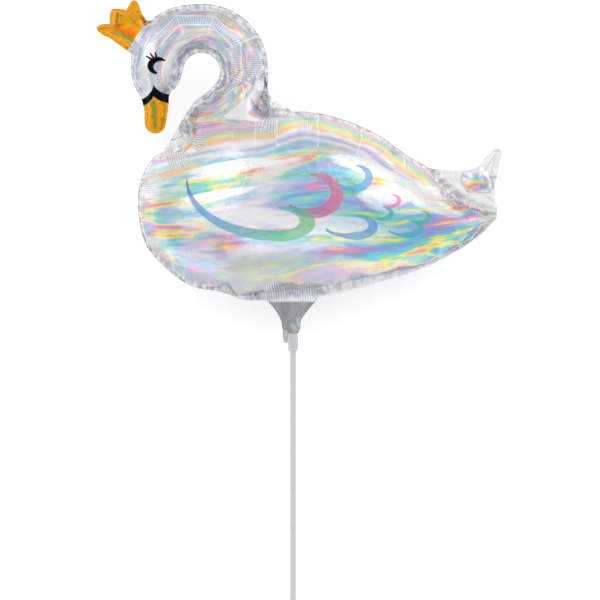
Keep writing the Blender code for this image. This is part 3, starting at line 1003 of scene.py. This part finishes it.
# %% Draw the crown and the beak
CROWN_LOW, CROWN_HIGH = (-145.3, 219.5), (-129.1, 244.1)
MASK_FOOT = (((-136.9, 185.7), 16.1), ((-106.9, 197.2), 24.4))
FACE_BOX = ((-137, -106), (141, 190))
GOLD, OLIVE, AMBER = (0.91, 0.40, 0.012), (0.26, 0.29, 0.04), (0.78, 0.15, 0.012)
BROWN = (0.33, 0.15, 0.015)
SMUDGES = (
    ((-154, 239), (-140, 234), 4.6, 0.85, AMBER), ((-157, 234), (-139, 227), 3.4, 0.75, OLIVE),
    ((-170, 238), (-148, 242), 1.0, 0.5, BROWN), ((-154, 252), (-155, 244), 1.3, 0.8, BROWN),
    ((-151, 249), (-151, 245), 1.5, 0.6, OLIVE), ((-136, 253), (-135, 247), 1.7, 0.6, OLIVE),
    ((-142, 247), (-139, 244), 1.3, 0.5, BROWN), ((-147, 222), (-141, 219), 1.3, 0.5, BROWN),
    ((-122.5, 174), (-121.5, 152), 3.0, 0.85, OLIVE), ((-116, 163), (-116, 158), 1.1, 0.5, OLIVE),
)
SMUDGE_GRAIN, SMUDGE_RAGGED, SMUDGE_EDGE = 0.2, 2.4, 1.5


def along_and_beside(start, end):
    """A line's length, how far a point lies along the line, and how far to its left."""
    run, rise = end[0] - start[0], end[1] - start[1]
    length = math.hypot(run, rise)
    to_x, to_y = x_mm - start[0], y_mm - start[1]
    reach = to_x * (run / length) + to_y * (rise / length)
    return length, reach, to_y * (run / length) - to_x * (rise / length)


def from_segment(start, end):
    """How far a point lies from a line's segment, and how far along the segment."""
    length, reach, aside = along_and_beside(start, end)
    overshoot = reach - reach.high(0).low(length)
    return (aside * aside + overshoot * overshoot) ** 0.5, reach.high(0)


def outside_circles(circles):
    """How far a point lies outside both circles."""
    first, second = [from_place(centre) - size for centre, size in circles]
    return first.low(second)


def ragged_patch(start, end, size):
    """A ragged patch of the given size along a segment."""
    gap, _ = from_segment(start, end)
    ragged = film.blur(film.point(x_mm, y_mm, size), SMUDGE_GRAIN, 3, 0.6)
    return 1 - (gap + (ragged - 0.5) * size * SMUDGE_RAGGED).within(0, size * SMUDGE_EDGE)


(left, right), (foot, top) = FACE_BOX
in_face = drawn(x_mm - left) * drawn(right - x_mm) * drawn(y_mm - foot) * drawn(top - y_mm)
beak = drawn(outside_circles(MASK_FOOT)) * in_face
crown = drawn(along_and_beside(CROWN_LOW, CROWN_HIGH)[2])
gold = GOLD
for start, end, size, cover, color in SMUDGES:
    gold = film.mix(ragged_patch(start, end, size) * cover, gold, color)
gilded = beak.high(crown)
printed = film.mix(gilded, printed, gold)
print("the gold has", len(SMUDGES), "smudges")

# %% [markdown]
# ## Mask and closed eye
# Between the beak and the head is a black mask with a scalloped upper edge, again made of two
# circles that meet in a point. The closed eye is a curved stroke with three lashes that get
# thinner towards their tips.

# %% Draw the mask and the eye
MASK_TOP = (((-140.4, 192.9), 18.4), ((-107.8, 198.0), 17.3))
BLACK = (0.005, 0.005, 0.006)
EYE = ((-117.6, 205.2), (7.6, 6.3), 44, 256, (0.4, 2.8, 0.9))
LASHES = (
    ((-123.3, 210.9), (-128.6, 213.9)), ((-121.6, 211.2), (-125.4, 216.6)),
    ((-119.4, 211.6), (-121.0, 217.2)),
)
LASH_ROOT_HALF = 1.15
LASH_TAPER = 0.08

black = drawn(outside_circles(MASK_TOP)) * in_face * (1 - beak)
black = black.high(ellipse_stroke(*EYE)[0])
for root, tip in LASHES:
    gap, reach = from_segment(root, tip)
    black = black.high(drawn(LASH_ROOT_HALF - reach * LASH_TAPER - gap))
printed = film.mix(black, printed, BLACK)
print("the eye has", len(LASHES), "lashes")

# %% [markdown]
# ## Fine puckers
# Between the large folds, patches of very fine ribs run across the seam, like a comb. They are
# about two millimetres apart, too fine for the mesh, so they are a bump and painted shade and
# highlight on each rib, which follow the distance along the seam that the mesh carries as an attribute.

# %% Comb the puckers
RIB_SPACING = 2.1
RIB_START, RIB_END = 2, 22
PATCH_EDGE = (0.75, 1.05)
TAIL_FOOT = (9, 12)
RIB_PATCHES = (
    ((-121, 101), 11), ((-101, 123), 11), ((-82, 138), 8), ((-24, 149), 11), ((12, 149), 9),
    ((142, 91), 8), ((164, 81), 8), ((-16, 5), 12), ((11, 5), 12), ((-127, 50), 7), ((-28, 206), 15),
)

rib = (along * (2 * math.pi / RIB_SPACING)).ripple()
rib_band = apart.within(RIB_START - 2, RIB_START) * (1 - apart.within(RIB_END - 4, RIB_END))
rib_band = rib_band.high(1 - y_mm.within(*TAIL_FOOT))
patches = [1 - (from_place(centre) / size).within(*PATCH_EDGE) for centre, size in RIB_PATCHES]
combed = reduce(Wire.high, patches) * rib_band
print("the ribs lie in", len(RIB_PATCHES), "patches")

# %% [markdown]
# ## The ring on the neck
# Round the neck's arch the film folds into an eight-sided ring: fine ribs between two edges of
# straight lengths, with a short fold from each inner corner. The shader turns each side's middle
# to the same direction, so that one straight line makes all eight.

# %% Draw the ring on the neck
RING = (-86, 209)
RING_SIDES = 8
RING_INSIDE, RING_OUTSIDE = 32.5, 40.5
RING_START, RING_END = (-1.2, -0.7), (2.5, 2.9)
RIBS_ROUND = 110
RING_LINE = (0.2, 0.9)

from_ring = from_place(RING)
round_ring = film.turn(y_mm - RING[1], x_mm - RING[0])
side = round_ring * (RING_SIDES / (2 * math.pi))
off_middle = (side - side.sum("ROUND", side)) * (2 * math.pi / RING_SIDES)
straight = from_ring * off_middle.sum("COSINE", off_middle)
to_corner = from_ring * (math.pi / RING_SIDES - off_middle.size())
in_ring = on_neck * round_ring.within(*RING_START) * (1 - round_ring.within(*RING_END))
ring = straight.within(RING_INSIDE - 1, RING_INSIDE) * in_ring
ring = ring * (1 - straight.within(RING_OUTSIDE, RING_OUTSIDE + 1))
# The ring's ribs and lines get painted shade and highlights further down.
ring_rib = (round_ring * RIBS_ROUND).ripple()
inner_line, outer_line = [
    1 - (straight - edge).size().within(*RING_LINE) for edge in (RING_INSIDE, RING_OUTSIDE)
]
corner_line = (1 - to_corner.within(*RING_LINE)) * straight.within(RING_INSIDE - 8, RING_INSIDE - 2)
ring_lines = inner_line.high(outer_line).high(corner_line) * in_ring
print("the ring has", RING_SIDES, "sides")

# %% [markdown]
# ## Folds and the pocket in the fan
# Single folds show as painted highlights, pale lines across the back's edge, and as painted shade,
# dark lines where the neck meets the body and in the tail's flat fan. The fan also has a small
# pocket that still holds air. It is round, so its hues go round it.

# %% Draw the folds and the pocket
HIGHLIT_FOLDS = (
    ((22, 164), (21.5, 135)), ((60, 153), (60, 141)), ((60, 141), (56, 129)),
    ((-33, 158), (-33.5, 137)), ((-14.5, 158), (-14.5, 135)), ((97, 130), (98, 118)),
    ((134.5, 99), (138.5, 88)), ((-53, 147), (-52.5, 137)),
)
SHADED_FOLDS = (
    ((-98.3, 155.4), (-108, 138.7)), ((-99.2, 152.8), (-99.2, 147.5)),
    ((-99.2, 147.5), (-96.6, 144)), ((-96.6, 144), (-108, 139.6)), ((-89, 158), (-86, 146)),
    ((-131, 57), (-127, 44)),
)
FAN_FOLDS = (
    ((177.5, 127.5), (168, 113), 1.3, 0.35), ((168, 113), (152, 108), 1.4, 0.3),
    ((177, 124), (174, 109), 1.2, 0.35), ((173.5, 107.5), (178, 108), 2.6, 0.75),
    ((174.5, 107), (175.5, 99), 2.2, 0.6), ((176, 131), (182, 131), 1.2, 0.4),
    ((152, 100), (172, 90), 1.3, 0.25), ((168, 92), (178, 85), 1.6, 0.3),
)
POCKET, POCKET_HALF = (163, 103), (1, 0.7255)
POCKET_EDGE = (7, 12)
HIGHLIT_EDGE, SHADED_EDGE, HIGHLIT_RAGGED = (0.2, 1.2), (0.1, 0.55), 3
POCKET_HUE_MIDDLE = (175, 103)
POCKET_HUE_START, POCKET_HUE_TURN = 0.62, 1.1

highlit_fold = reduce(Wire.high, [
    1 - (from_segment(start, end)[0] + (fine - 0.5).size() * HIGHLIT_RAGGED).within(*HIGHLIT_EDGE)
    for start, end in HIGHLIT_FOLDS
])
shaded_fold = reduce(Wire.high, [
    1 - from_segment(start, end)[0].within(*SHADED_EDGE) for start, end in SHADED_FOLDS
])
speckle = film.blur(film.point(x_mm, y_mm, 11), 0.3, 3, 0.6) - 0.5
for start, end, size, shade_share in FAN_FOLDS:
    fold = 1 - (from_segment(start, end)[0] + speckle * size).within(0, size)
    shaded_fold = shaded_fold.high(fold * shade_share)

pocket = 1 - from_place(POCKET, POCKET_HALF).within(*POCKET_EDGE)
round_pocket = film.turn(POCKET_HUE_MIDDLE[1] - y_mm, POCKET_HUE_MIDDLE[0] - x_mm)
pocket_hue = (round_pocket * POCKET_HUE_TURN + POCKET_HUE_START).fraction()
pocket_color = film.node("ShaderNodeValToRGB", {"stops": RAINBOW}, {0: pocket_hue})
print("there are", len(HIGHLIT_FOLDS), "pale and", len(SHADED_FOLDS) + len(FAN_FOLDS), "dark folds")

# %% [markdown]
# ## Painted shade and highlights of the relief, and the filling tail
# The painted shade and highlights of ribs and folds are left out on the ink of the crown, the beak
# and the face. The filling tail has no pearly layer and is plain silver grey, with a few paler
# patches, painted highlights where it bends.

# %% Colour the relief and the filling tail
RIB_SHADE, RIB_HIGHLIGHT = (0.42, 0.48, 0.56), (0.98, 0.99, 1.0)
FOLD_HIGHLIGHT, FOLD_SHADE = (0.97, 0.98, 1.0), (0.2, 0.21, 0.24)
SILVER_DARK, SILVER_PALE = (0.22, 0.22, 0.23), (0.46, 0.46, 0.47)
POCKET_COVER, RIB_COVER, FOLD_HIGHLIGHT_COVER, FOLD_SHADE_COVER, SILVER_COVER = 0.8, 0.55, 0.7, 0.75, 0.95
RING_SHARE = 0.8
TAIL_TOP, TAIL_LEFT, TAIL_RIGHT = (-2.2, -0.6), (-24, -22), (24, 26)
TAIL_HIGHLIGHTS = (
    ((4.5, -17), (5.5, -22), 2.6, 0.85, (0.46, 0.74, 0.82)),
    ((-1, -22), (3, -27), 2.4, 0.7, (0.66, 0.67, 0.66)),
    ((-6.5, -28), (-6.5, -38), 2.0, 0.8, (0.72, 0.72, 0.72)),
)

inked = black.high(gilded)
ridge = rib * combed + ring_rib * ring
ribbed = combed.high(ring * RING_SHARE) * (1 - inked)
highlit_lines = highlit_fold.high(ring_lines * RING_SHARE) * (1 - inked)
printed = film.mix(pocket * POCKET_COVER, printed, pocket_color)
# Ribs: painted shade in their hollows and painted highlights on their ridges.
printed = film.mix(ribbed * RIB_COVER, printed, film.mix(ridge, RIB_SHADE, RIB_HIGHLIGHT))
# Painted highlights on the pale folds and the ring's lines, painted shade in the dark folds.
printed = film.mix(highlit_lines * FOLD_HIGHLIGHT_COVER, printed, FOLD_HIGHLIGHT)
printed = film.mix(shaded_fold * FOLD_SHADE_COVER, printed, FOLD_SHADE)

filling_tail = (1 - y_mm.within(*TAIL_TOP)) * x_mm.within(*TAIL_LEFT) * (1 - x_mm.within(*TAIL_RIGHT))
silver = film.blur(film.point(x_mm, y_mm * 0.4, 1), 0.16, 3)
printed = film.mix(filling_tail * SILVER_COVER, printed, film.mix(silver, SILVER_DARK, SILVER_PALE))
# Painted highlights where the filling tail bends.
for start, end, size, cover, color in TAIL_HIGHLIGHTS:
    printed = film.mix(ragged_patch(start, end, size) * filling_tail * cover, printed, color)
film.plug(printed, film.shader.inputs["Base Color"])
print("the filling tail has", len(TAIL_HIGHLIGHTS), "smudges")

# %% [markdown]
# ## Shine and fine relief
# The film shines like soft metal under a thin clear coat. The black and gold ink is set nearly
# fully metallic with hardly any coat, because then it reflects only in its own colour, and the
# black stays deep and the gold rich. The relief is one bump: wide crinkles, fine grain, the ribs,
# short ribs on the welded border, and the single folds.

# %% Give the film its shine and fine relief
FILM_METAL, INK_METAL = 0.74, 0.24
FILM_COAT, INK_COAT_LOSS = 0.2, 0.18
FILM_ROUGHNESS, STREAK_ROUGHNESS, BLACK_ROUGHNESS, GOLD_ROUGHNESS = 0.2, 0.16, 0.3, 0.1
RELIEF_DEPTH, RELIEF_STRENGTH = 0.9 * MM, 0.6
CRINKLES, GRAIN, RIBS, BORDER_RIBS, FOLDS, RING_GROOVES = 1.1, 0.12, 0.6, 0.12, 0.5, 0.3

film.plug(inked * INK_METAL + FILM_METAL, film.shader.inputs["Metallic"])
film.plug(FILM_COAT - inked * INK_COAT_LOSS, film.shader.inputs["Coat Weight"])
roughness = fine * STREAK_ROUGHNESS + black * BLACK_ROUGHNESS + gilded * GOLD_ROUGHNESS + FILM_ROUGHNESS
film.plug(roughness, film.shader.inputs["Roughness"])
grain = film.blur(film.point(x_mm * 0.25, y_mm * 1.1, z_mm), 1.2, 4, 0.6)
crinkle = film.blur(film.point(x_mm, y_mm, z_mm), 0.11, 3, 0.55)
welded = 1 - apart.within(-1, 0.2)
relief = crinkle * CRINKLES + grain * GRAIN + ridge * RIBS + welded * rib * BORDER_RIBS
relief = relief + highlit_fold * FOLDS - ring_lines * RING_GROOVES
film.bump(relief, RELIEF_DEPTH, RELIEF_STRENGTH)
film_mesh.materials.append(film.material)
print("the film's material has", len(film.tree.nodes), "nodes")

# %% [markdown]
# ## Collar and stick
# The collar is a milky plastic sleeve and the stick a white plastic tube, both from the packed
# model, whose shapes are right as they are. They only get their finish: light passes a little
# way into the collar, and the stick has faint lines along it from the tool that it was drawn
# through.

# %% Finish the collar and the stick
MILKY_DARK, MILKY_PALE = (0.80, 0.82, 0.83), (0.93, 0.94, 0.95)
STICK_DARK, STICK_PALE = (0.66, 0.66, 0.655), (0.78, 0.78, 0.775)
CLOUDS = 160
DRAWN_LINES = (900, 6, 900)

milky = Finish("milky_plastic", Roughness=0.28, IOR=1.46, Transmission_Weight=0.35, Coat_Weight=0.2)
milky_place = milky.node("ShaderNodeTexCoord", {}, {}, "Object")
cloud = milky.blur(milky_place, CLOUDS, 3)
milky.plug(milky.mix(cloud, MILKY_DARK, MILKY_PALE), milky.shader.inputs["Base Color"])
milky.bump(cloud, 0.1 * MM, 0.4)

white = Finish("white_plastic", Roughness=0.38, IOR=1.46, Subsurface_Weight=0.1)
white_place = white.node("ShaderNodeTexCoord", {}, {}, "Object")
stretched = white.node("ShaderNodeMapping", {}, {"Vector": white_place, "Scale": DRAWN_LINES})
lines = white.blur(stretched, 1, 2)
white.plug(white.mix(lines, STICK_DARK, STICK_PALE), white.shader.inputs["Base Color"])
white.bump(lines, 0.05 * MM, 0.3)

for name, finish in (("collar", milky), ("stick", white)):
    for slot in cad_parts[name].material_slots:
        slot.material = finish.material
print("the collar and the stick have their finish")

# %% [markdown]
# ## Floor and light
# A plain white floor and soft light from large lamps, as in a product picture. Glossy film shows
# what stands round it, so the lamps are large and the surroundings are a light grey that gives
# the folds their soft shading.

# %% Lay the floor and hang the lamps
FLOOR_SIZE = 8
FLOOR_DROP = 0.2 * MM
FLOOR_GLOW = 0.3
STUDIO_GREY = (0.93, 0.93, 0.94, 1)
STUDIO_STRENGTH = 0.82
LAMP_TARGET = Vector((0, 0.15, 0))

floor_shape = bmesh.new()
bmesh.ops.create_grid(floor_shape, x_segments=1, y_segments=1, size=FLOOR_SIZE / 2)
floor_mesh = bpy.data.meshes.new("floor")
floor_shape.to_mesh(floor_mesh)
floor_shape.free()
floor = bpy.data.objects.new("floor", floor_mesh)
bpy.context.scene.collection.objects.link(floor)
floor.location.z = -FLOOR_DROP

floor_finish = bpy.data.materials.new("white_floor")
floor_finish.use_nodes = True
floor_shader = floor_finish.node_tree.nodes["Principled BSDF"]
floor_shader.inputs["Base Color"].default_value = (0.95, 0.95, 0.95, 1)
floor_shader.inputs["Roughness"].default_value = 0.9
floor_shader.inputs["Emission Color"].default_value = (1, 1, 1, 1)
floor_shader.inputs["Emission Strength"].default_value = FLOOR_GLOW
floor_mesh.materials.append(floor_finish)

world = bpy.data.worlds.new("studio")
world.use_nodes = True
world.node_tree.nodes["Background"].inputs["Color"].default_value = STUDIO_GREY
world.node_tree.nodes["Background"].inputs["Strength"].default_value = STUDIO_STRENGTH
bpy.context.scene.world = world
bpy.context.scene.view_settings.view_transform = "Standard"


def hang_lamp(name, place, size, watts):
    lamp = bpy.data.lights.new(name, "AREA")
    lamp.shape = "RECTANGLE"
    lamp.size, lamp.size_y = size
    lamp.energy = watts
    hung = bpy.data.objects.new(name, lamp)
    bpy.context.scene.collection.objects.link(hung)
    hung.location = place
    hung.rotation_euler = (LAMP_TARGET - Vector(place)).to_track_quat("-Z", "Y").to_euler()


hang_lamp("top_left", (-0.9, 0.5, 1.3), (1.4, 0.9), 2.2)
hang_lamp("top_right", (0.9, 0.7, 1.1), (1.1, 0.8), 2.0)
hang_lamp("front", (0.1, -1.2, 1.2), (1.4, 0.9), 1.5)
print("three lamps light a floor of", FLOOR_SIZE, "m")
